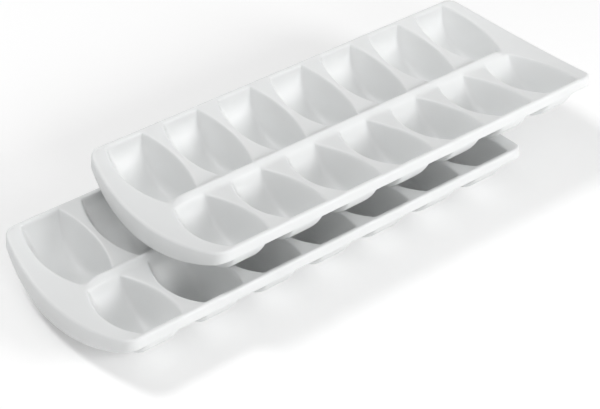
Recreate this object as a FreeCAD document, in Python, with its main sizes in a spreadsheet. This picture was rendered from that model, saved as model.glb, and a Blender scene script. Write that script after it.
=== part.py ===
"""Two identical twist ice cube trays, one lying across the other.

Millimetres, +Z up. The origin is on the surface that the lower tray stands on, midway between the
two trays in plan. X runs along the trays and Y across them. Each tray is one moulded piece: a
rounded rim block is dished across its width, trimmed from below and hollowed to a skirted plate,
and two rows of half-moon pockets hang from it on either side of a raised rib.
"""
import FreeCAD, Part

import math
import os

import Sketcher

SIZES = [
    ("rim_width", 115.6, "outside width over the two long rims"),
    ("rim_length", 276.0, "outside length along the middle, over both bowed ends"),
    ("end_bow", 210.0, "plan radius of the bowed ends"),
    ("rim_corner", 8.0, "plan radius where a bowed end meets a long side"),
    ("dish_depth", 8.0, "how far the middle of the top lies below the long rims"),
    ("side_skirt", 6.5, "depth of the skirt along the long sides"),
    ("end_skirt", 11.6, "depth of the skirt at the middle of each end"),
    ("skirt_flare", 5.0, "degrees by which the skirt opens downwards"),
    ("wall", 1.6, "wall of the plate, the skirt and the pockets"),
    ("pocket_columns", 7, "pockets along one row"),
    ("pocket_pitch", 36.5, "spacing of the pockets along a row"),
    ("row_offset", 28.4, "distance of each row's axis from the middle of the tray"),
    ("pocket_radius", 26.3, "inside radius of the half-moon, round an axis at rim height"),
    ("pocket_width", 32.8, "inside width of a pocket at its waist, level with the top"),
    ("pocket_bulge", 58.0, "radius of the bulging sides, square to their slope"),
    ("pocket_draft", 19.5, "degrees by which the sides close in towards the floor"),
    ("rib_width", 5.8, "width of the raised rib between the rows"),
    ("rib_length", 232.0, "length of the raised rib, over its domed ends"),
    ("rib_height", 2.6, "height of the raised rib above the dished top"),
    ("foot_flat", 0.4, "height cut off the round undersides, for the tray to stand on"),
    ("blank_above", 2.0, "height of the uncut block above the long rims"),
    ("stack_shift", 56.0, "how far along the lower tray the upper one lies"),
    ("stack_slip", 3.0, "how far towards the back the upper tray lies"),
    ("stack_gap", 0.25, "clearance where the upper tray's pockets come down on the lower tray"),
]

# The dished top and the skirt's lower edge are circles across the tray, through the long rims.
HALF_WIDTH = "Sizes.rim_width / 2"
DISH_RADIUS = f"(({HALF_WIDTH}) ^ 2 + Sizes.dish_depth ^ 2) / (2 * Sizes.dish_depth)"
DISH_CENTRE = f"{DISH_RADIUS} - Sizes.dish_depth"
HEM_DEPTH = "Sizes.dish_depth + Sizes.end_skirt"
HEM_RISE = f"({HEM_DEPTH} - Sizes.side_skirt)"
HEM_RADIUS = f"(({HALF_WIDTH}) ^ 2 + {HEM_RISE} ^ 2) / (2 * {HEM_RISE})"
OUTER_RADIUS = "(Sizes.pocket_radius + Sizes.wall)"
STAND_HEIGHT = f"{OUTER_RADIUS} - Sizes.foot_flat"
RIB_HALF = "Sizes.rib_width / 2"
RIB_CENTRE = f"Sizes.rib_height - {RIB_HALF} - Sizes.dish_depth"
ROW_DEPTH = f"(sqrt(({DISH_RADIUS}) ^ 2 - Sizes.row_offset ^ 2) - ({DISH_CENTRE}))"
DRAFT = "Sizes.pocket_draft * 1 deg"

# A round pocket inside the round dish touches it where their centres are this far apart.
CENTRES_APART = f"({DISH_RADIUS} - {OUTER_RADIUS} - Sizes.stack_gap)"
FAR_ROW = "(Sizes.row_offset + abs(Sizes.stack_slip))"
STACK_RISE = f"{DISH_CENTRE} - sqrt({CENTRES_APART} ^ 2 - {FAR_ROW} ^ 2)"

NOTHING = "0 * Sizes.wall"

ORIGIN = (-1, 1)
ALONG_AXIS = -1
UP_AXIS = -2
START, END, CENTRE = 1, 2, 3


def make_sheet(document):
    """Write every driving size into the spreadsheet, one named cell each."""
    sheet = document.addObject("Spreadsheet::Sheet", "Sizes")
    for row, (name, value, meaning) in enumerate(SIZES, start=1):
        sheet.set(f"A{row}", name)
        sheet.set(f"B{row}", str(value))
        sheet.set(f"C{row}", meaning)
        sheet.setAlias(f"B{row}", name)
    document.recompute()
    return sheet


def number(thing, formula):
    """The present value of a formula over the spreadsheet."""
    result = thing.evalExpression(formula)
    return float(getattr(result, "Value", result))


def bind(thing, **formulas):
    """Tie properties of a feature to formulas over the spreadsheet."""
    for name, formula in formulas.items():
        thing.setExpression(name, formula)


def item_of(body, role):
    """One of the body's own origin planes or axes."""
    return next(item for item in body.Origin.OriginFeatures if item.Role == role)


def new_sketch(body, role, name):
    """A sketch on one of the body's own origin planes."""
    sketch = body.newObject("Sketcher::SketchObject", name)
    sketch.AttachmentSupport = (item_of(body, role), [""])
    sketch.MapMode = "FlatFace"
    return sketch


def dimension(sketch, kind, where, formula):
    """A driving dimension tied to a formula."""
    index = sketch.addConstraint(Sketcher.Constraint(kind, *where, number(sketch, formula)))
    sketch.setExpression(f"Constraints[{index}]", formula)


def polygon(sketch, corners):
    """A closed polygon through corners that are pairs of formulas."""
    places = [[number(sketch, part) for part in corner] for corner in corners]
    for index, place in enumerate(places):
        following = places[(index + 1) % len(places)]
        sketch.addGeometry(Part.LineSegment(FreeCAD.Vector(*place), FreeCAD.Vector(*following)))
    for index, (across, up) in enumerate(corners):
        following = (index + 1) % len(corners)
        sketch.addConstraint(Sketcher.Constraint("Coincident", index, END, following, START))
        dimension(sketch, "DistanceX", (*ORIGIN, index, START), across)
        dimension(sketch, "DistanceY", (*ORIGIN, index, START), up)


def at(x, y):
    """A point in a sketch's own plane."""
    return FreeCAD.Vector(x, y, 0)


def arc_between(centre, radius, start, end):
    """An arc counter-clockwise from one point to another, for a sketch."""
    first, last = (math.atan2(point.y - centre.y, point.x - centre.x) for point in (start, end))
    if last < first:
        last += 2 * math.pi
    return Part.ArcOfCircle(Part.Circle(centre, FreeCAD.Vector(0, 0, 1), radius), first, last)


def draw_rim(sketch, inset):
    """The rim in plan: straight sides, bowed ends and four tangent corner arcs."""
    narrowing = "Sizes.blank_above * tan(Sizes.skirt_flare * 1 deg)"
    side_formula = f"{HALF_WIDTH} - {narrowing} - {inset}"
    middle_formula = f"Sizes.rim_length / 2 - {narrowing} - Sizes.end_bow"
    bow_formula, corner_formula = f"Sizes.end_bow - {inset}", f"Sizes.rim_corner - {inset}"
    side, middle = number(sketch, side_formula), number(sketch, middle_formula)
    bow, corner = number(sketch, bow_formula), number(sketch, corner_formula)
    corner_y = side - corner
    corner_x = middle + math.sqrt((bow - corner) ** 2 - corner_y ** 2)
    meet_x = middle + (corner_x - middle) * bow / (bow - corner)
    meet_y = corner_y * bow / (bow - corner)
    sketch.addGeometry([
        Part.LineSegment(at(corner_x, side), at(-corner_x, side)),
        arc_between(at(-corner_x, corner_y), corner, at(-corner_x, side), at(-meet_x, meet_y)),
        arc_between(at(-middle, 0), bow, at(-meet_x, meet_y), at(-meet_x, -meet_y)),
        arc_between(at(-corner_x, -corner_y), corner, at(-meet_x, -meet_y), at(-corner_x, -side)),
        Part.LineSegment(at(-corner_x, -side), at(corner_x, -side)),
        arc_between(at(corner_x, -corner_y), corner, at(corner_x, -side), at(meet_x, -meet_y)),
        arc_between(at(middle, 0), bow, at(meet_x, -meet_y), at(meet_x, meet_y)),
        arc_between(at(corner_x, corner_y), corner, at(meet_x, meet_y), at(corner_x, side)),
    ])
    back, left_bow, front, right_bow = 0, 2, 4, 6
    corners = (1, 3, 5, 7)
    for index in range(8):
        sketch.addConstraint(Sketcher.Constraint("Tangent", index, END, (index + 1) % 8, START))
    for index in corners[1:]:
        sketch.addConstraint(Sketcher.Constraint("Equal", corners[0], index))
    sketch.addConstraint(Sketcher.Constraint("Equal", left_bow, right_bow))
    for index in (back, front):
        sketch.addConstraint(Sketcher.Constraint("Horizontal", index))
    for index in (left_bow, right_bow):
        sketch.addConstraint(Sketcher.Constraint("PointOnObject", index, CENTRE, ALONG_AXIS))
    dimension(sketch, "Radius", (corners[0],), corner_formula)
    dimension(sketch, "Radius", (left_bow,), bow_formula)
    dimension(sketch, "DistanceY", (*ORIGIN, back, START), side_formula)
    dimension(sketch, "DistanceY", (*ORIGIN, front, START), f"-({side_formula})")
    dimension(sketch, "DistanceX", (*ORIGIN, right_bow, CENTRE), middle_formula)
    dimension(sketch, "DistanceX", (*ORIGIN, left_bow, CENTRE), f"-({middle_formula})")


def draw_dish(sketch, below):
    """The circle that the top is dished to, or one that lies below it by a wall."""
    centre, radius = at(0, number(sketch, DISH_CENTRE)), f"{DISH_RADIUS} + {below}"
    sketch.addGeometry(Part.Circle(centre, FreeCAD.Vector(0, 0, 1), number(sketch, radius)))
    sketch.addConstraint(Sketcher.Constraint("PointOnObject", 0, CENTRE, UP_AXIS))
    dimension(sketch, "Radius", (0,), radius)
    dimension(sketch, "DistanceY", (*ORIGIN, 0, CENTRE), DISH_CENTRE)


def draw_hem(sketch):
    """All that lies below the arched lower edge of the skirt."""
    reach = f"({HALF_WIDTH} + {HEM_RISE})"
    height = f"{HEM_RADIUS} - ({HEM_DEPTH})"
    below = f"-2 * ({HEM_DEPTH})"
    radius, centre_z = number(sketch, HEM_RADIUS), number(sketch, height)
    side, floor = number(sketch, reach), number(sketch, below)
    end_z = centre_z - math.sqrt(radius ** 2 - side ** 2)
    sketch.addGeometry([
        arc_between(at(0, centre_z), radius, at(-side, end_z), at(side, end_z)),
        Part.LineSegment(at(side, end_z), at(side, floor)),
        Part.LineSegment(at(side, floor), at(-side, floor)),
        Part.LineSegment(at(-side, floor), at(-side, end_z)),
    ])
    arc, right, bottom, left = range(4)
    for first, second in ((arc, right), (right, bottom), (bottom, left), (left, arc)):
        sketch.addConstraint(Sketcher.Constraint("Coincident", first, END, second, START))
    sketch.addConstraint(Sketcher.Constraint("Vertical", right))
    sketch.addConstraint(Sketcher.Constraint("Vertical", left))
    sketch.addConstraint(Sketcher.Constraint("Horizontal", bottom))
    sketch.addConstraint(Sketcher.Constraint("PointOnObject", arc, CENTRE, UP_AXIS))
    dimension(sketch, "Radius", (arc,), HEM_RADIUS)
    dimension(sketch, "DistanceY", (*ORIGIN, arc, CENTRE), height)
    dimension(sketch, "DistanceX", (*ORIGIN, right, END), reach)
    dimension(sketch, "DistanceX", (*ORIGIN, left, START), f"-{reach}")
    dimension(sketch, "DistanceY", (*ORIGIN, right, END), below)


def draw_rib(sketch):
    """The rib's rounded section, its straight base buried in the plate."""
    radius, centre_z = number(sketch, RIB_HALF), number(sketch, RIB_CENTRE)
    right, left = at(radius, centre_z), at(-radius, centre_z)
    sketch.addGeometry([arc_between(at(0, centre_z), radius, right, left), Part.LineSegment(left, right)])
    sketch.addConstraint(Sketcher.Constraint("Coincident", 0, END, 1, START))
    sketch.addConstraint(Sketcher.Constraint("Coincident", 1, END, 0, START))
    sketch.addConstraint(Sketcher.Constraint("PointOnObject", 0, CENTRE, 1))
    sketch.addConstraint(Sketcher.Constraint("Horizontal", 1))
    sketch.addConstraint(Sketcher.Constraint("PointOnObject", 0, CENTRE, UP_AXIS))
    dimension(sketch, "Radius", (0,), RIB_HALF)
    dimension(sketch, "DistanceY", (*ORIGIN, 0, CENTRE), RIB_CENTRE)


def draw_half_round(sketch, wall):
    """The half-round outline of one pocket, seen along the row."""
    radius_formula = f"Sizes.pocket_radius + {wall}"
    row, radius = number(sketch, "Sizes.row_offset"), number(sketch, radius_formula)
    front, back = at(row - radius, 0), at(row + radius, 0)
    sketch.addGeometry([arc_between(at(row, 0), radius, front, back), Part.LineSegment(back, front)])
    sketch.addConstraint(Sketcher.Constraint("Coincident", 0, END, 1, START))
    sketch.addConstraint(Sketcher.Constraint("Coincident", 1, END, 0, START))
    sketch.addConstraint(Sketcher.Constraint("PointOnObject", 0, START, ALONG_AXIS))
    sketch.addConstraint(Sketcher.Constraint("PointOnObject", 0, END, ALONG_AXIS))
    sketch.addConstraint(Sketcher.Constraint("PointOnObject", 0, CENTRE, ALONG_AXIS))
    dimension(sketch, "Radius", (0,), radius_formula)
    dimension(sketch, "DistanceX", (*ORIGIN, 0, CENTRE), "Sizes.row_offset")


def draw_outside(sketch, side, wall):
    """All that lies outside a pocket's bulging side; side is 1 to the right and -1 to the left."""
    radius_formula = f"Sizes.pocket_bulge + {wall}"
    centre_formula = f"{-side} * Sizes.pocket_bulge"
    reach_formula = f"({OUTER_RADIUS} + Sizes.wall)"
    edge_formula = f"{side} * {OUTER_RADIUS}"
    radius, centre = number(sketch, radius_formula), number(sketch, centre_formula)
    reach, edge = number(sketch, reach_formula), number(sketch, edge_formula)
    meet = centre + side * math.sqrt(radius ** 2 - reach ** 2)
    first, last = at(meet, -side * reach), at(meet, side * reach)
    sketch.addGeometry([
        arc_between(at(centre, 0), radius, first, last),
        Part.LineSegment(last, at(edge, side * reach)),
        Part.LineSegment(at(edge, side * reach), at(edge, -side * reach)),
        Part.LineSegment(at(edge, -side * reach), first),
    ])
    for index in range(4):
        sketch.addConstraint(Sketcher.Constraint("Coincident", index, END, (index + 1) % 4, START))
    sketch.addConstraint(Sketcher.Constraint("PointOnObject", 0, CENTRE, ALONG_AXIS))
    sketch.addConstraint(Sketcher.Constraint("Horizontal", 1))
    sketch.addConstraint(Sketcher.Constraint("Horizontal", 3))
    dimension(sketch, "Radius", (0,), radius_formula)
    dimension(sketch, "DistanceX", (*ORIGIN, 0, CENTRE), centre_formula)
    for line, turn in ((1, side), (2, -side)):
        dimension(sketch, "DistanceX", (*ORIGIN, line, END), edge_formula)
        dimension(sketch, "DistanceY", (*ORIGIN, line, END), f"{turn} * {reach_formula}")


def slice_away(body, name, sketch):
    """Cut a section drawn across the tray out of its whole length."""
    cut = body.newObject("PartDesign::Pocket", name)
    cut.Profile = sketch
    cut.Type = "ThroughAll"
    cut.Midplane = True
    return cut


def make_cups(document, name, wall):
    """A solid for every pocket of one tray, as large as its hollow or larger by a wall."""
    body = document.addObject("PartDesign::Body", name)
    body.Label = name
    first_column = "(-Sizes.pocket_pitch * (Sizes.pocket_columns - 1) / 2)"
    half_width = f"(Sizes.pocket_width / 2 + {ROW_DEPTH} * tan({DRAFT}))"

    outline = new_sketch(body, "YZ_Plane", name + "HalfRound")
    outline.setExpression("AttachmentOffset.Base.z", first_column)
    draw_half_round(outline, wall)
    cup = body.newObject("PartDesign::Pad", name + "Cup")
    cup.Profile = outline
    cup.Midplane = True
    bind(cup, Length=f"2 * {half_width} + 4 * Sizes.wall")

    for side, word in ((1, "Right"), (-1, "Left")):
        outside = new_sketch(body, "XY_Plane", name + word)
        outside.AttachmentOffset = FreeCAD.Placement(at(0, 0), FreeCAD.Rotation(at(0, 1), 1))
        bind(outside, **{
            "AttachmentOffset.Base.x": f"{first_column} + {side} * {half_width}",
            "AttachmentOffset.Base.y": "Sizes.row_offset",
            "AttachmentOffset.Rotation.Angle": f"{side} * Sizes.pocket_draft * 1 deg",
        })
        draw_outside(outside, side, wall)
        slice_away(body, name + word + "Side", outside)
    document.recompute()

    rows = body.newObject("PartDesign::MultiTransform", name + "Rows")
    rows.TransformMode = "Whole shape"
    along = body.newObject("PartDesign::LinearPattern", name + "Along")
    along.Direction = (item_of(body, "X_Axis"), [""])
    bind(along, Length="Sizes.pocket_pitch * (Sizes.pocket_columns - 1)",
         Occurrences="Sizes.pocket_columns")
    across = body.newObject("PartDesign::Mirrored", name + "Across")
    across.MirrorPlane = (item_of(body, "XZ_Plane"), [""])
    rows.Transformations = [along, across]
    body.Tip = rows
    return body


def combine(body, kind, name, other):
    """Join another body's solid to this one, or cut it away."""
    feature = body.newObject("PartDesign::Boolean", name)
    feature.Type = kind
    feature.Group = [other]
    return feature


def make_dished_block(document, name, inset):
    """The rim block with its dished top, or the core that fits inside it by a wall."""
    body = document.addObject("PartDesign::Body", name)
    body.Label = name
    rim = new_sketch(body, "XY_Plane", name + "RimPlan")
    rim.setExpression("AttachmentOffset.Base.z", "Sizes.blank_above")
    draw_rim(rim, inset)
    block = body.newObject("PartDesign::Pad", name + "Block")
    block.Profile = rim
    block.Reversed = True
    bind(block, Length=f"Sizes.blank_above + {HEM_DEPTH}", TaperAngle="Sizes.skirt_flare")
    dish = new_sketch(body, "YZ_Plane", name + "DishCircle")
    draw_dish(dish, inset)
    slice_away(body, name + "Dish", dish)
    return body, dish


def add_rib(body, name):
    """The rounded rib between the rows, closed by a quarter of a ball at each end."""
    section = new_sketch(body, "YZ_Plane", name + "RibSection")
    draw_rib(section)
    bar = body.newObject("PartDesign::Pad", name + "Rib")
    bar.Profile = section
    bar.Midplane = True
    bind(bar, Length="Sizes.rib_length - Sizes.rib_width")
    for side, word in ((1, "Right"), (-1, "Left")):
        dome = body.newObject("PartDesign::AdditiveSphere", name + word + "RibEnd")
        dome.AttachmentSupport = (item_of(body, "XY_Plane"), [""])
        dome.MapMode = "FlatFace"
        dome.Angle1 = 0
        bind(dome, Radius=RIB_HALF)
        dome.setExpression("AttachmentOffset.Base.x", f"{side} * (Sizes.rib_length / 2 - {RIB_HALF})")
        dome.setExpression("AttachmentOffset.Base.z", RIB_CENTRE)


def make_tray(document, name, side, height):
    """One tray; side is -1 for the lower tray's place along and across, 1 for the upper one's."""
    body, dish = make_dished_block(document, name, NOTHING)
    core, _ = make_dished_block(document, name + "_core", "Sizes.wall")
    cups = make_cups(document, name + "_cups", "Sizes.wall")
    hollows = make_cups(document, name + "_hollows", NOTHING)

    hem = new_sketch(body, "YZ_Plane", name + "HemSection")
    draw_hem(hem)
    slice_away(body, name + "Hem", hem)
    combine(body, "Cut", name + "Shell", core)
    combine(body, "Fuse", name + "WithCups", cups)
    slice_away(body, name + "Trim", dish)

    add_rib(body, name)
    combine(body, "Cut", name + "Hollowed", hollows)

    feet = new_sketch(body, "YZ_Plane", name + "FeetSection")
    below = "-2 * Sizes.pocket_radius"
    polygon(feet, [(f"-{HALF_WIDTH}", f"-({STAND_HEIGHT})"), (HALF_WIDTH, f"-({STAND_HEIGHT})"),
                   (HALF_WIDTH, below), (f"-{HALF_WIDTH}", below)])
    slice_away(body, name + "Feet", feet)

    body.setExpression("Placement.Base.x", f"{side} * Sizes.stack_shift / 2")
    body.setExpression("Placement.Base.y", f"{side} * Sizes.stack_slip / 2")
    body.setExpression("Placement.Base.z", height)
    return body


def check(document, bodies):
    """Stop if any feature failed or any tray is empty or not a sound single solid."""
    failed = [item.Name for item in document.Objects
              if "Invalid" in item.State or "Error" in item.State]
    if failed:
        raise RuntimeError("failed features: " + ", ".join(failed))
    for body in bodies:
        if body.Shape.isNull() or not body.Shape.isValid() or len(body.Shape.Solids) != 1:
            raise RuntimeError("unsound solid: " + body.Label)


document = FreeCAD.newDocument("IceCubeTrays")
make_sheet(document)
trays = [
    make_tray(document, "lower_tray", -1, STAND_HEIGHT),
    make_tray(document, "upper_tray", 1, f"{STAND_HEIGHT} + {STACK_RISE}"),
]
document.recompute()
check(document, trays)
os.makedirs("parts", exist_ok=True)
for tray in trays:
    tray.Shape.exportStep(os.path.join("parts", tray.Label + ".step"))
    box = tray.Shape.BoundBox
    print(tray.Label, round(tray.Shape.Volume), box)
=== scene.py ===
"""White twist ice cube trays, one lying askew on the other, for a plain studio picture.

Each tray is one thin moulding: a dished plate with a rounded rim and a skirt, two rows of
half-moon pockets, and a smooth ridge that runs between the rows.
"""
import math

import bmesh
import bpy
from bpy.props import FloatProperty, FloatVectorProperty, IntProperty, PointerProperty
from mathutils import Matrix, Vector


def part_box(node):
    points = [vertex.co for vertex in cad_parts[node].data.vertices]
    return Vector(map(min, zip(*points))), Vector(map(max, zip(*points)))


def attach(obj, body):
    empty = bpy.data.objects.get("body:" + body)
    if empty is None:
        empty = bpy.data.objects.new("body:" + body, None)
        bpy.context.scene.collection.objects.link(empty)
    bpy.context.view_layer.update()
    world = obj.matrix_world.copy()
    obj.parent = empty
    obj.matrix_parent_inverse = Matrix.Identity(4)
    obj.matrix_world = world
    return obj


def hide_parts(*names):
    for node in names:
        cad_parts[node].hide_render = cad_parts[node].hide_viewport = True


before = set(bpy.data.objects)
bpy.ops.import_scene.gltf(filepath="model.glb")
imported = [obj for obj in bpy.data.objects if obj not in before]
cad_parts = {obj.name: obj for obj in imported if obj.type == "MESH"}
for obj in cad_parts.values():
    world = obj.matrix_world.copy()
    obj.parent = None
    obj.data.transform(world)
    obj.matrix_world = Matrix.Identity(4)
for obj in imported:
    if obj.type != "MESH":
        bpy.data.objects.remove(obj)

bl_info = {
    "name": "Twist ice cube trays",
    "version": (1, 0, 0),
    "blender": (4, 5, 0),
    "location": "View3D > Sidebar > Ice trays",
    "description": "Builds two moulded ice cube trays and their studio",
    "category": "Add Mesh",
}

TRAYS = ("lower_tray", "upper_tray")
MM = 0.001
TOUCH = 0.01 * MM

# Least width of plate kept inside the rim, on the upper and the lower side.
RIM_BAND, UNDER_BAND = 2.0 * MM, 0.2 * MM
NUDGES = [Vector((TOUCH, 0.0, 0.0)), Vector((0.0, TOUCH, 0.0)), Vector((0.0, 0.0, TOUCH))]
END_SHARE = 0.72
PLATE_BUNCH = 1.6
SETTLE_STEPS, HALVINGS, FLARE_STEPS = 6, 40, 3
LEAST_RISE = 0.2
SKIRT_SHARES = (0.0, 0.5, 1.0)
RIM_SEGMENTS, HEM_SEGMENTS = 4, 2

# Steps of one pocket's surface: lengthwise, down each side, across the floor and over the plate.
STATIONS, WALL_STEPS, FLOOR_STEPS, PLATE_STEPS = 32, 12, 14, 5

MARKS = "rounding"
RIM, HEM = 1, 2

PLASTIC_IOR = 1.49
COOL_TINT = (0.985, 0.99, 0.993, 1.0)
TONE_SCALE, GLOSS_SCALE, GRAIN_SCALE = 22.0, 140.0, 2600.0
GLOSS_SPREAD, GRAIN_STRENGTH = 0.08, 0.12

FLOOR_HALF, FLOOR_DROP = 6.0, 0.2 * MM
FLOOR_COLOUR, FLOOR_ROUGHNESS = (0.95, 0.95, 0.95, 1.0), 0.9

# How bright the room is, and each lamp's name, place, width and watts.
ROOM_LIGHT = 0.4
LAMPS = (("front_light", (0.6, -1.2, 0.55), 0.5, 9.0),
         ("fill_light", (-0.35, -1.05, 0.5), 0.4, 2.4),
         ("back_light", (-0.35, 0.6, 1.15), 0.4, 5.5))

CAMERA_LENS = 97.283
CAMERA_PLACE = Vector((-0.457988, -0.556466, 0.524971))
CAMERA_TURN = (38.987, 35.996, -0.224)


def length(name, value, description):
    """A length property whose default is given in millimetres."""
    return FloatProperty(name=name, description=description, default=value * MM,
                         min=0.0, unit="LENGTH", subtype="DISTANCE", precision=5)


class TraySizes(bpy.types.PropertyGroup):
    """Sizes of the moulded tray."""
    rim_width: length("Rim width", 115.6, "Outside width over the long rims")
    rim_length: length("Rim length", 276.0, "Outside length along the middle")
    end_bow: length("End bow", 210.0, "Plan radius of the bowed ends")
    rim_corner: length("Rim corner", 8.0, "Plan radius of the four corners")
    rim_round: length("Rim rounding", 1.5, "Rounding of the rim's upper edge")
    dish_depth: length("Dish depth", 8.0, "How far the middle lies below the rims")
    side_skirt: length("Side skirt", 6.5, "Depth of the skirt along the sides")
    end_skirt: length("End skirt", 11.6, "Depth of the skirt at the ends")
    skirt_flare: FloatProperty(name="Skirt flare", description="How far the skirt opens downwards",
                               default=math.radians(5.0), unit="ROTATION", subtype="ANGLE")
    wall: length("Wall", 1.6, "Thickness of the moulding")
    hem_round: length("Hem rounding", 0.45, "Rounding of the skirt's lower edges")
    foot_flat: length("Foot flat", 0.4, "Height cut off the round undersides")


class PocketSizes(bpy.types.PropertyGroup):
    """Sizes of the pockets and of the ridge between their rows."""
    columns: IntProperty(name="Columns", description="Pockets along one row", default=7, min=1)
    pitch: length("Pitch", 36.5, "Spacing of the pockets")
    row: length("Row offset", 28.4, "Distance of a row's axis from the middle")
    radius: length("Floor radius", 26.3, "Radius of the half-round floor")
    width: length("Width", 32.8, "Width at the waist, level with the top")
    bulge: length("Side bulge", 58.0, "Radius of the bulging sides")
    draft: FloatProperty(name="Draft", description="Slope of the sides",
                         default=math.radians(19.5), unit="ROTATION", subtype="ANGLE")
    crease: length("Crease at the mouth", 0.8, "Softness of the inner corners at the mouth")
    hollow: length("Crease at the floor", 5.0, "Softness of the inner corners at the bottom")
    lip: length("Lip", 1.0, "Rounding of a pocket's mouth")
    wall: length("Pocket wall", 1.3, "Thickness of a pocket's wall")
    ridge_width: length("Ridge width", 8.4, "Width of the smooth ridge between the rows")
    ridge_height: length("Ridge height", 2.6, "Height of the ridge over the dished top")
    ridge_length: length("Ridge length", 236.0, "Length of the ridge")
    ridge_end: length("Ridge end", 7.0, "Length over which the ridge's ends die away")


class PlasticLook(bpy.types.PropertyGroup):
    """Colour and finish of the plastic and of the studio."""
    white: FloatVectorProperty(name="Plastic", description="Colour of the plastic", size=3,
                               subtype="COLOR", min=0.0, max=1.0, default=(0.83, 0.84, 0.838))
    roughness: FloatProperty(name="Roughness", description="Gloss of the moulded surface",
                             default=0.42, min=0.0, max=1.0, subtype="FACTOR")
    grain: length("Grain", 0.02, "Height of the faint moulded grain")
    milkiness: FloatProperty(name="Milkiness",
                             description="Share of the light that spreads in the plastic",
                             default=0.5, min=0.0, max=1.0, subtype="FACTOR")
    light_reach: length("Light reach", 5.0, "How far light spreads in the plastic")
    floor_glow: FloatProperty(name="Floor glow",
                              description="Light that the camera sees added to the floor",
                              default=0.18, min=0.0)


def smooth_max(first, second, soft):
    """The larger of two distances, with the corner between them rounded."""
    blend = max(soft - abs(first - second), 0.0)
    return max(first, second) + blend ** 2 / (4 * soft)


def ease(share):
    """Bunch even steps towards both ends."""
    return share ** 2 * (3 - 2 * share)


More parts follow.
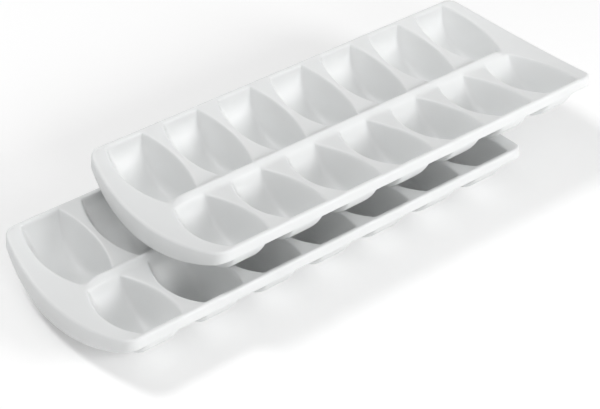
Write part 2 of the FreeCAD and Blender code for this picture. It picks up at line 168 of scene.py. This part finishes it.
class Skin:
    """Shape of one side of the moulding, upper or lower, with the long rims at height zero."""

    def __init__(self, sizes, pockets, lower):
        self.sizes, self.pockets, self.lower = sizes, pockets, lower
        plate, cup = (sizes.wall, pockets.wall) if lower else (0.0, 0.0)
        half = sizes.rim_width / 2
        self.half, self.plate = half, plate
        self.dish_radius = (half ** 2 + sizes.dish_depth ** 2) / (2 * sizes.dish_depth)
        self.hem_depth = sizes.dish_depth + sizes.end_skirt
        rise = self.hem_depth - sizes.side_skirt
        self.hem_radius = (half ** 2 + rise ** 2) / (2 * rise)
        self.radius = pockets.radius + cup
        self.slope = math.tan(pockets.draft)
        self.half_mouth = (pockets.width / 2 - self.dish(pockets.row) * self.slope
                           + cup / math.cos(pockets.draft))
        self.first = -pockets.pitch * (pockets.columns - 1) / 2
        self.band = UNDER_BAND if lower else RIM_BAND
        self.plate_x = pockets.pitch * pockets.columns / 2
        self.plate_y = half - plate - self.band

        self.corner, self.bow = sizes.rim_corner - plate, sizes.end_bow - plate
        self.middle = sizes.rim_length / 2 - sizes.end_bow
        self.corner_y = half - sizes.rim_corner
        self.corner_x = self.middle + math.sqrt((self.bow - self.corner) ** 2 - self.corner_y ** 2)
        self.bow_angle = math.asin(self.corner_y / (self.bow - self.corner))
        self.turn = math.pi / 2 - self.bow_angle
        self.round_rim = self.corner_x + self.corner * self.turn + self.bow * self.bow_angle

    def dish(self, across):
        """The dished top, level beyond the long rims."""
        across = min(abs(across), self.half)
        drop = math.sqrt(self.dish_radius ** 2 - across ** 2)
        return self.dish_radius - self.sizes.dish_depth - drop

    def top(self, across):
        """The plate: the dished top with its ridge, or the plain underside."""
        return self.dish(across) - self.plate + self.ridge(across)

    def ridge(self, across):
        """Height of the ridge over the dished top."""
        side = min(abs(across) / (self.pockets.ridge_width / 2), 1.0)
        bell = 0.5 + 0.5 * math.cos(math.pi * side)
        return 0.0 if self.lower else self.pockets.ridge_height * bell

    def ridge_share(self, along):
        """How much of the ridge is left at a distance along it: its ends die away."""
        left = (self.pockets.ridge_length / 2 - abs(along)) / self.pockets.ridge_end
        return ease(min(max(left, 0.0), 1.0))

    def hem(self, across):
        """The skirt's lower edge."""
        return self.hem_radius - self.hem_depth - math.sqrt(self.hem_radius ** 2 - across ** 2)

    def half_width(self, across, height):
        """Half the width between a pocket's bulging, drafted sides."""
        pockets = self.pockets
        bulged = pockets.bulge - math.sqrt(pockets.bulge ** 2 - across ** 2)
        return self.half_mouth + height * self.slope - bulged / math.cos(pockets.draft)

    def outside(self, point):
        """How far a point lies outside a pocket's soft-cornered hollow; negative inside it."""
        side = (abs(point.x) - self.half_width(point.y, point.z)) * math.cos(self.pockets.draft)
        floor = math.hypot(point.y, point.z) - self.radius
        depth = min(max(-point.z / self.radius, 0.0), 1.0)
        soft = self.pockets.crease + (self.pockets.hollow - self.pockets.crease) * depth ** 2
        return smooth_max(side, floor, soft)

    def above(self, point):
        """How far a point lies above the skin, with the pocket's lip rounded."""
        plate = point.z - self.top(self.pockets.row + point.y)
        return smooth_max(plate, -self.outside(point), self.pockets.lip)

    def settle(self, point):
        """Move a point square to the skin until it lies on it."""
        for _ in range(SETTLE_STEPS):
            here = self.above(point)
            rise = Vector([(self.above(point + step) - self.above(point - step)) / (2 * TOUCH)
                           for step in NUDGES])
            point = point - rise * (here / max(rise.length_squared, LEAST_RISE))
        return point

    def end_angle(self, side):
        """Where a pocket's half-round floor meets the plate, as an angle round its axis."""
        low, high = 0.0, math.pi / 2
        for _ in range(HALVINGS):
            angle = (low + high) / 2
            y = side * self.radius * math.cos(angle)
            if -self.radius * math.sin(angle) > self.top(self.pockets.row + y):
                low = angle
            else:
                high = angle
        return angle

    def rim(self, along):
        """The point of the rim at a distance from the middle of its side, and the outward way."""
        if along <= self.corner_x:
            return Vector((along, self.corner_y + self.corner)), Vector((0.0, 1.0))
        along -= self.corner_x
        if along <= self.corner * self.turn:
            angle = math.pi / 2 - along / self.corner
            out = Vector((math.cos(angle), math.sin(angle)))
            return Vector((self.corner_x, self.corner_y)) + out * self.corner, out
        along -= self.corner * self.turn
        angle = self.bow_angle - along / self.bow
        out = Vector((math.cos(angle), math.sin(angle)))
        return Vector((self.middle, 0.0)) + out * self.bow, out

    def rim_at(self, across):
        """Distance along the rim to the point of the bowed end that lies a distance across."""
        return self.round_rim - self.bow * math.asin(across / self.bow)

    def rim_place(self, point):
        """Where a point of the plate's border goes on the rim, and the outward way there."""
        along, across = abs(point.x), abs(point.y)
        walked = along if across > self.plate_y - TOUCH else self.plate_x + self.plate_y - across
        straight, level_end = -self.first, END_SHARE * self.plate_y
        resume, far = self.plate_x + self.plate_y - level_end, self.rim_at(level_end)
        if walked <= straight:
            there = walked
        elif walked < resume:
            there = straight + (far - straight) * (walked - straight) / (resume - straight)
        else:
            there = self.rim_at(across)
        spot, out = self.rim(there)
        flip = Vector((math.copysign(1.0, point.x), math.copysign(1.0, point.y)))
        return spot * flip, out * flip


def follow(ring, fresh):
    """The new vertices in the order of the ring that they were extruded from."""
    return [next(edge.other_vert(vert) for edge in vert.link_edges
                 if edge.other_vert(vert) in fresh) for vert in ring]


def ring_edges(mesh, ring):
    """The edges round a closed ring of vertices."""
    return [mesh.edges.get((vert, ring[index - 1])) for index, vert in enumerate(ring)]


def grow(mesh, ring):
    """Extrude a closed ring of vertices once and return the new ring."""
    made = bmesh.ops.extrude_edge_only(mesh, edges=ring_edges(mesh, ring))["geom"]
    return follow(ring, {part for part in made if isinstance(part, bmesh.types.BMVert)})


def mark(mesh, ring, rounding):
    """Remember which edges are rounded, and how, once both sides are joined."""
    marks = mesh.edges.layers.int.get(MARKS) or mesh.edges.layers.int.new(MARKS)
    for edge in ring_edges(mesh, ring):
        edge[marks] = rounding


def pocket_sheet(mesh, skin):
    """Model one pocket from a grid: each row goes down a side, over the floor and up."""
    start, end = skin.end_angle(1), math.pi - skin.end_angle(-1)
    across = 2 * WALL_STEPS + FLOOR_STEPS
    grid = bmesh.ops.create_grid(mesh, x_segments=across, y_segments=STATIONS, size=0.5)["verts"]
    for vert in grid:
        column = round((vert.co.x + 0.5) * across)
        angle = start + (end - start) * (0.5 - vert.co.y)
        y, floor = skin.radius * math.cos(angle), -skin.radius * math.sin(angle)
        rim = skin.top(skin.pockets.row + y)
        from_edge = min(column, across - column)
        side = -1.0 if 2 * column < across else 1.0
        z = rim + (min(floor, rim) - rim) * ease(min(from_edge / WALL_STEPS, 1.0))
        x = side * skin.half_width(y, z)
        if from_edge > WALL_STEPS:
            x *= math.cos((from_edge - WALL_STEPS) / FLOOR_STEPS * math.pi)
        vert.co = Vector((x, y, z))
    bmesh.ops.remove_doubles(mesh, verts=mesh.verts, dist=TOUCH)


def plate_goal(skin, point, corner_x, low, high):
    """Where a point of the mouth goes on the border of its pocket's share of the plate."""
    half, row = skin.pockets.pitch / 2, skin.pockets.row
    near, far = -row, skin.plate_y - row
    if abs(point.x) < corner_x - TOUCH and (point.y - low < TOUCH or high - point.y < TOUCH):
        return Vector((point.x * half / corner_x, near if point.y < 0 else far, 0.0))
    share = (point.y - low) / (high - low)
    return Vector((math.copysign(half, point.x), near + (far - near) * share, 0.0))


def one_pocket(mesh, skin):
    """Model the first pocket of the back row with the plate round it."""
    pocket_sheet(mesh, skin)
    ring = border_walk(mesh)
    mouth = [vert.co.copy() for vert in ring]
    low, high = (limit(point.y for point in mouth) for limit in (min, max))
    corner_x = [max(point.x for point in mouth if abs(point.y - end) < TOUCH)
                for end in (low, high)]
    goals = [plate_goal(skin, point, corner_x[point.y > 0], low, high) for point in mouth]
    for step in range(1, PLATE_STEPS + 1):
        ring = grow(mesh, ring)
        for vert, point, goal in zip(ring, mouth, goals):
            x, y, _ = point.lerp(goal, (step / PLATE_STEPS) ** PLATE_BUNCH)
            vert.co = Vector((x, y, skin.top(skin.pockets.row + y)))
    border = set(ring)
    for vert in mesh.verts:
        if vert not in border:
            vert.co = skin.settle(vert.co)
    bmesh.ops.translate(mesh, verts=mesh.verts, vec=Vector((skin.first, skin.pockets.row, 0.0)))


def border_walk(mesh):
    """The vertices round the open edge of a sheet, in order."""
    open_edges = {edge for edge in mesh.edges if len(edge.link_faces) == 1}
    edge = next(edge for edge in mesh.edges if edge in open_edges)
    start, vert = edge.verts
    walk = [start]
    while vert is not start:
        walk.append(vert)
        edge = next(near for near in vert.link_edges if near in open_edges and near is not edge)
        vert = edge.other_vert(vert)
    return walk


def build_skin(skin):
    """One side of the moulding as an open sheet round its own middle."""
    mesh, pockets = bmesh.new(), skin.pockets
    one_pocket(mesh, skin)
    source = mesh.verts[:] + mesh.edges[:] + mesh.faces[:]
    for column in range(1, pockets.columns):
        copied = bmesh.ops.duplicate(mesh, geom=source)["geom"]
        verts = [part for part in copied if isinstance(part, bmesh.types.BMVert)]
        bmesh.ops.translate(mesh, verts=verts, vec=Vector((pockets.pitch * column, 0.0, 0.0)))
    bmesh.ops.mirror(mesh, geom=mesh.verts[:] + mesh.edges[:] + mesh.faces[:],
                     matrix=Matrix.Identity(4), merge_dist=TOUCH, axis="Y")
    bmesh.ops.remove_doubles(mesh, verts=mesh.verts, dist=TOUCH)
    for vert in mesh.verts:
        vert.co.z -= skin.ridge(vert.co.y) * (1 - skin.ridge_share(vert.co.x))

    ring = border_walk(mesh)
    places = [skin.rim_place(vert.co) for vert in ring]
    for vert, (spot, out) in zip(ring, places):
        crowded = skin.band - (spot - vert.co.xy).dot(out)
        if crowded > 0:
            x, y = vert.co.xy - out * crowded
            vert.co = Vector((x, y, skin.top(y)))
    flare, rings = math.tan(skin.sizes.skirt_flare), []
    for share in SKIRT_SHARES:
        ring = grow(mesh, ring)
        rings.append(ring)
        for vert, (spot, out) in zip(ring, places):
            flat = spot
            for _ in range(FLARE_STEPS):
                height = (skin.dish(flat.y) - skin.plate) * (1 - share) + skin.hem(flat.y) * share
                flat = spot - out * height * flare
            vert.co = Vector((*flat, height))
    mark(mesh, rings[-1], HEM)
    if not skin.lower:
        mark(mesh, rings[0], RIM)
    return mesh


def moulding(sizes, pockets):
    """One whole tray round its own middle, rims at height zero: two skins joined at the hem."""
    mesh = build_skin(Skin(sizes, pockets, lower=True))
    lower = bpy.data.meshes.new("lower_skin")
    mesh.to_mesh(lower)
    mesh.free()
    mesh = build_skin(Skin(sizes, pockets, lower=False))
    mesh.from_mesh(lower)
    bpy.data.meshes.remove(lower)
    bmesh.ops.bridge_loops(mesh, edges=[edge for edge in mesh.edges if len(edge.link_faces) == 1])
    bmesh.ops.recalc_face_normals(mesh, faces=mesh.faces)
    marks = mesh.edges.layers.int[MARKS]
    for kind, size, segments in ((RIM, sizes.rim_round, RIM_SEGMENTS),
                                 (HEM, sizes.hem_round, HEM_SEGMENTS)):
        edges = [edge for edge in mesh.edges if edge[marks] == kind]
        bmesh.ops.bevel(mesh, geom=edges, offset=size,
                        offset_type="OFFSET", segments=segments, profile=0.5, affect="EDGES",
                        material=-1)
    stand = sizes.foot_flat - pockets.radius - sizes.wall
    for vert in mesh.verts:
        vert.co.z = max(vert.co.z, stand)
    return mesh


def place_of(node):
    """The middle of a packed tray in plan, at the height of its long rims."""
    low, high = (Vector(corner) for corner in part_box(node))
    return Vector(((low.x + high.x) / 2, (low.y + high.y) / 2, high.z))


def finished(name, mesh, node):
    """Turn a mesh modelled round its own middle into a piece that rides with a tray."""
    bmesh.ops.translate(mesh, verts=mesh.verts, vec=place_of(node))
    for face in mesh.faces:
        face.smooth = True
    data = bpy.data.meshes.new(name)
    mesh.to_mesh(data)
    mesh.free()
    data.materials.append(white_plastic(bpy.context.scene.ice_look))
    piece = bpy.data.objects.new(name, data)
    bpy.context.scene.collection.objects.link(piece)
    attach(piece, node)
    return piece


class Shade:
    """One value or colour in a material, with arithmetic that adds the nodes for it."""

    def __init__(self, tree, socket):
        self.tree, self.socket = tree, socket

    def node(self, kind, settings, inputs, output=0):
        """Add a node with its settings, feed its inputs and return one of its outputs."""
        made = self.tree.nodes.new(kind)
        for name, value in settings.items():
            setattr(made, name, value)
        for name, value in inputs.items():
            if isinstance(value, Shade):
                self.tree.links.new(value.socket, made.inputs[name])
            else:
                made.inputs[name].default_value = value
        return Shade(self.tree, made.outputs[output])

    def maths(self, operation, first, second):
        return self.node("ShaderNodeMath", {"operation": operation}, {0: first, 1: second})

    def __add__(self, other):
        return self.maths("ADD", self, other)

    def __radd__(self, other):
        return self.maths("ADD", other, self)

    def __sub__(self, other):
        return self.maths("SUBTRACT", self, other)

    def __rsub__(self, other):
        return self.maths("SUBTRACT", other, self)

    def __mul__(self, other):
        return self.maths("MULTIPLY", self, other)

    def __rmul__(self, other):
        return self.maths("MULTIPLY", other, self)

    def noise(self, scale, detail):
        """Soft noise over this place, from nought to one."""
        inputs = {"Vector": self, "Scale": scale, "Detail": detail}
        return self.node("ShaderNodeTexNoise", {}, inputs)

    def feed(self, node, name):
        self.tree.links.new(self.socket, node.inputs[name])


def shown_rays(tree):
    """One for rays that show the background: the camera's, reflected and transmitted ones."""
    rays = tree.nodes.new("ShaderNodeLightPath").outputs
    camera, glossy, through = (Shade(tree, rays[name]) for name in
                               ("Is Camera Ray", "Is Glossy Ray", "Is Transmission Ray"))
    shown = camera + glossy + through
    return shown.maths("MINIMUM", shown, 1.0)


def white_plastic(look):
    """Satin moulded plastic: a hair of tone drift, uneven gloss and a fine grain."""
    material = bpy.data.materials.get("white_plastic_satin")
    if material:
        return material
    material = bpy.data.materials.new("white_plastic_satin")
    material.use_nodes = True
    tree = material.node_tree
    surface = tree.nodes["Principled BSDF"]
    surface.inputs["IOR"].default_value = PLASTIC_IOR
    surface.inputs["Subsurface Weight"].default_value = look.milkiness
    surface.inputs["Subsurface Radius"].default_value = (1.0, 1.0, 1.0)
    surface.inputs["Subsurface Scale"].default_value = look.light_reach
    place = Shade(tree, tree.nodes.new("ShaderNodeTexCoord").outputs["Object"])
    white = (*look.white, 1.0)
    cool = tuple(part * tint for part, tint in zip(white, COOL_TINT))
    tone = place.node("ShaderNodeMix", {"data_type": "RGBA"},
                      {"Factor": place.noise(TONE_SCALE, 2.0), 6: white, 7: cool}, output=2)
    tone.feed(surface, "Base Color")
    least = look.roughness - GLOSS_SPREAD / 2
    (least + GLOSS_SPREAD * place.noise(GLOSS_SCALE, 3.0)).feed(surface, "Roughness")
    bump = place.node("ShaderNodeBump", {}, {"Strength": GRAIN_STRENGTH, "Distance": look.grain,
                                             "Height": place.noise(GRAIN_SCALE, 1.0)})
    bump.feed(surface, "Normal")
    return material


class ICE_OT_tray_moulding(bpy.types.Operator):
    """Model the moulded plate, pockets, ridge and skirt of both trays"""
    bl_idname = "ice.tray_moulding"
    bl_label = "Tray mouldings"
    bl_options = {"REGISTER", "UNDO"}

    def execute(self, context):
        scene = context.scene
        for node in TRAYS:
            piece = finished(node + "_moulding", moulding(scene.ice_tray, scene.ice_pockets), node)
            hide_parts(node)
        return {"FINISHED"}


class ICE_OT_studio(bpy.types.Operator):
    """Lay the pale floor and set up the soft lights and the camera"""
    bl_idname = "ice.studio"
    bl_label = "Floor, lights and camera"
    bl_options = {"REGISTER", "UNDO"}

    def execute(self, context):
        lay_floor(context.scene.ice_look)
        hang_lights(context)
        aim_camera(context)
        context.scene.view_settings.view_transform = "Standard"
        return {"FINISHED"}


def lay_floor(look):
    """A wide pale floor that looks white to the camera and keeps the trays' shadow."""
    mesh = bmesh.new()
    bmesh.ops.create_grid(mesh, x_segments=1, y_segments=1, size=FLOOR_HALF)
    data = bpy.data.meshes.new("studio_floor")
    mesh.to_mesh(data)
    mesh.free()
    floor = bpy.data.objects.new("studio_floor", data)
    floor.location.z = -FLOOR_DROP
    bpy.context.scene.collection.objects.link(floor)
    material = bpy.data.materials.new("studio_floor_white")
    material.use_nodes = True
    tree = material.node_tree
    surface = tree.nodes["Principled BSDF"]
    surface.inputs["Base Color"].default_value = FLOOR_COLOUR
    surface.inputs["Roughness"].default_value = FLOOR_ROUGHNESS
    surface.inputs["Specular IOR Level"].default_value = 0.0
    surface.inputs["Emission Strength"].default_value = 1.0
    (look.floor_glow * shown_rays(tree)).feed(surface, "Emission Color")
    data.materials.append(material)


def hang_lights(context):
    """Lamps in front, beside the camera and behind on the left, in an even white room."""
    world = bpy.data.worlds.new("studio_room")
    context.scene.world = world
    world.use_nodes = True
    tree = world.node_tree
    room = tree.nodes["Background"]
    room.inputs["Color"].default_value = (1.0, 1.0, 1.0, 1.0)
    (ROOM_LIGHT + (1 - ROOM_LIGHT) * shown_rays(tree)).feed(room, "Strength")
    for name, place, size, power in LAMPS:
        lamp = bpy.data.lights.new(name, "AREA")
        lamp.shape, lamp.size, lamp.energy = "DISK", size, power
        stand = bpy.data.objects.new(name, lamp)
        stand.location = place
        stand.rotation_mode = "QUATERNION"
        stand.rotation_quaternion = (-Vector(place)).to_track_quat("-Z", "Y")
        context.scene.collection.objects.link(stand)


def aim_camera(context):
    """The photograph's viewpoint: from the front left, looking down on the trays."""
    camera = bpy.data.cameras.new("studio_camera")
    camera.sensor_width, camera.lens = 36.0, CAMERA_LENS
    camera.clip_start, camera.clip_end = 0.05, 50.0
    stand = bpy.data.objects.new("studio_camera", camera)
    stand.location = CAMERA_PLACE
    yaw, pitch, roll = (math.radians(angle) for angle in CAMERA_TURN)
    ahead = Vector((math.sin(yaw) * math.cos(pitch), math.cos(yaw) * math.cos(pitch),
                    -math.sin(pitch)))
    stand.rotation_mode = "QUATERNION"
    level = ahead.to_track_quat("-Z", "Y")
    stand.rotation_quaternion = level @ Matrix.Rotation(roll, 4, "Z").to_quaternion()
    context.scene.collection.objects.link(stand)
    context.scene.camera = stand


class ICE_PT_trays(bpy.types.Panel):
    """Sizes, look and building steps of the ice cube trays"""
    bl_idname = "ICE_PT_trays"
    bl_label = "Ice cube trays"
    bl_space_type = "VIEW_3D"
    bl_region_type = "UI"
    bl_category = "Ice trays"

    def draw(self, context):
        layout = self.layout
        for group in (context.scene.ice_tray, context.scene.ice_pockets, context.scene.ice_look):
            column = layout.column(align=True)
            for name in group.__annotations__:
                column.prop(group, name)
        for step in STEPS:
            layout.operator(step.bl_idname)


STEPS = (ICE_OT_tray_moulding, ICE_OT_studio)
CLASSES = (TraySizes, PocketSizes, PlasticLook, *STEPS, ICE_PT_trays)


def register():
    for one in CLASSES:
        bpy.utils.register_class(one)
    bpy.types.Scene.ice_tray = PointerProperty(type=TraySizes)
    bpy.types.Scene.ice_pockets = PointerProperty(type=PocketSizes)
    bpy.types.Scene.ice_look = PointerProperty(type=PlasticLook)


def unregister():
    del bpy.types.Scene.ice_look, bpy.types.Scene.ice_pockets, bpy.types.Scene.ice_tray
    for one in reversed(CLASSES):
        bpy.utils.unregister_class(one)


def main():
    register()
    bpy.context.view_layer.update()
    bpy.ops.ice.tray_moulding()
    bpy.ops.ice.studio()


if __name__ == "__main__":
    main()
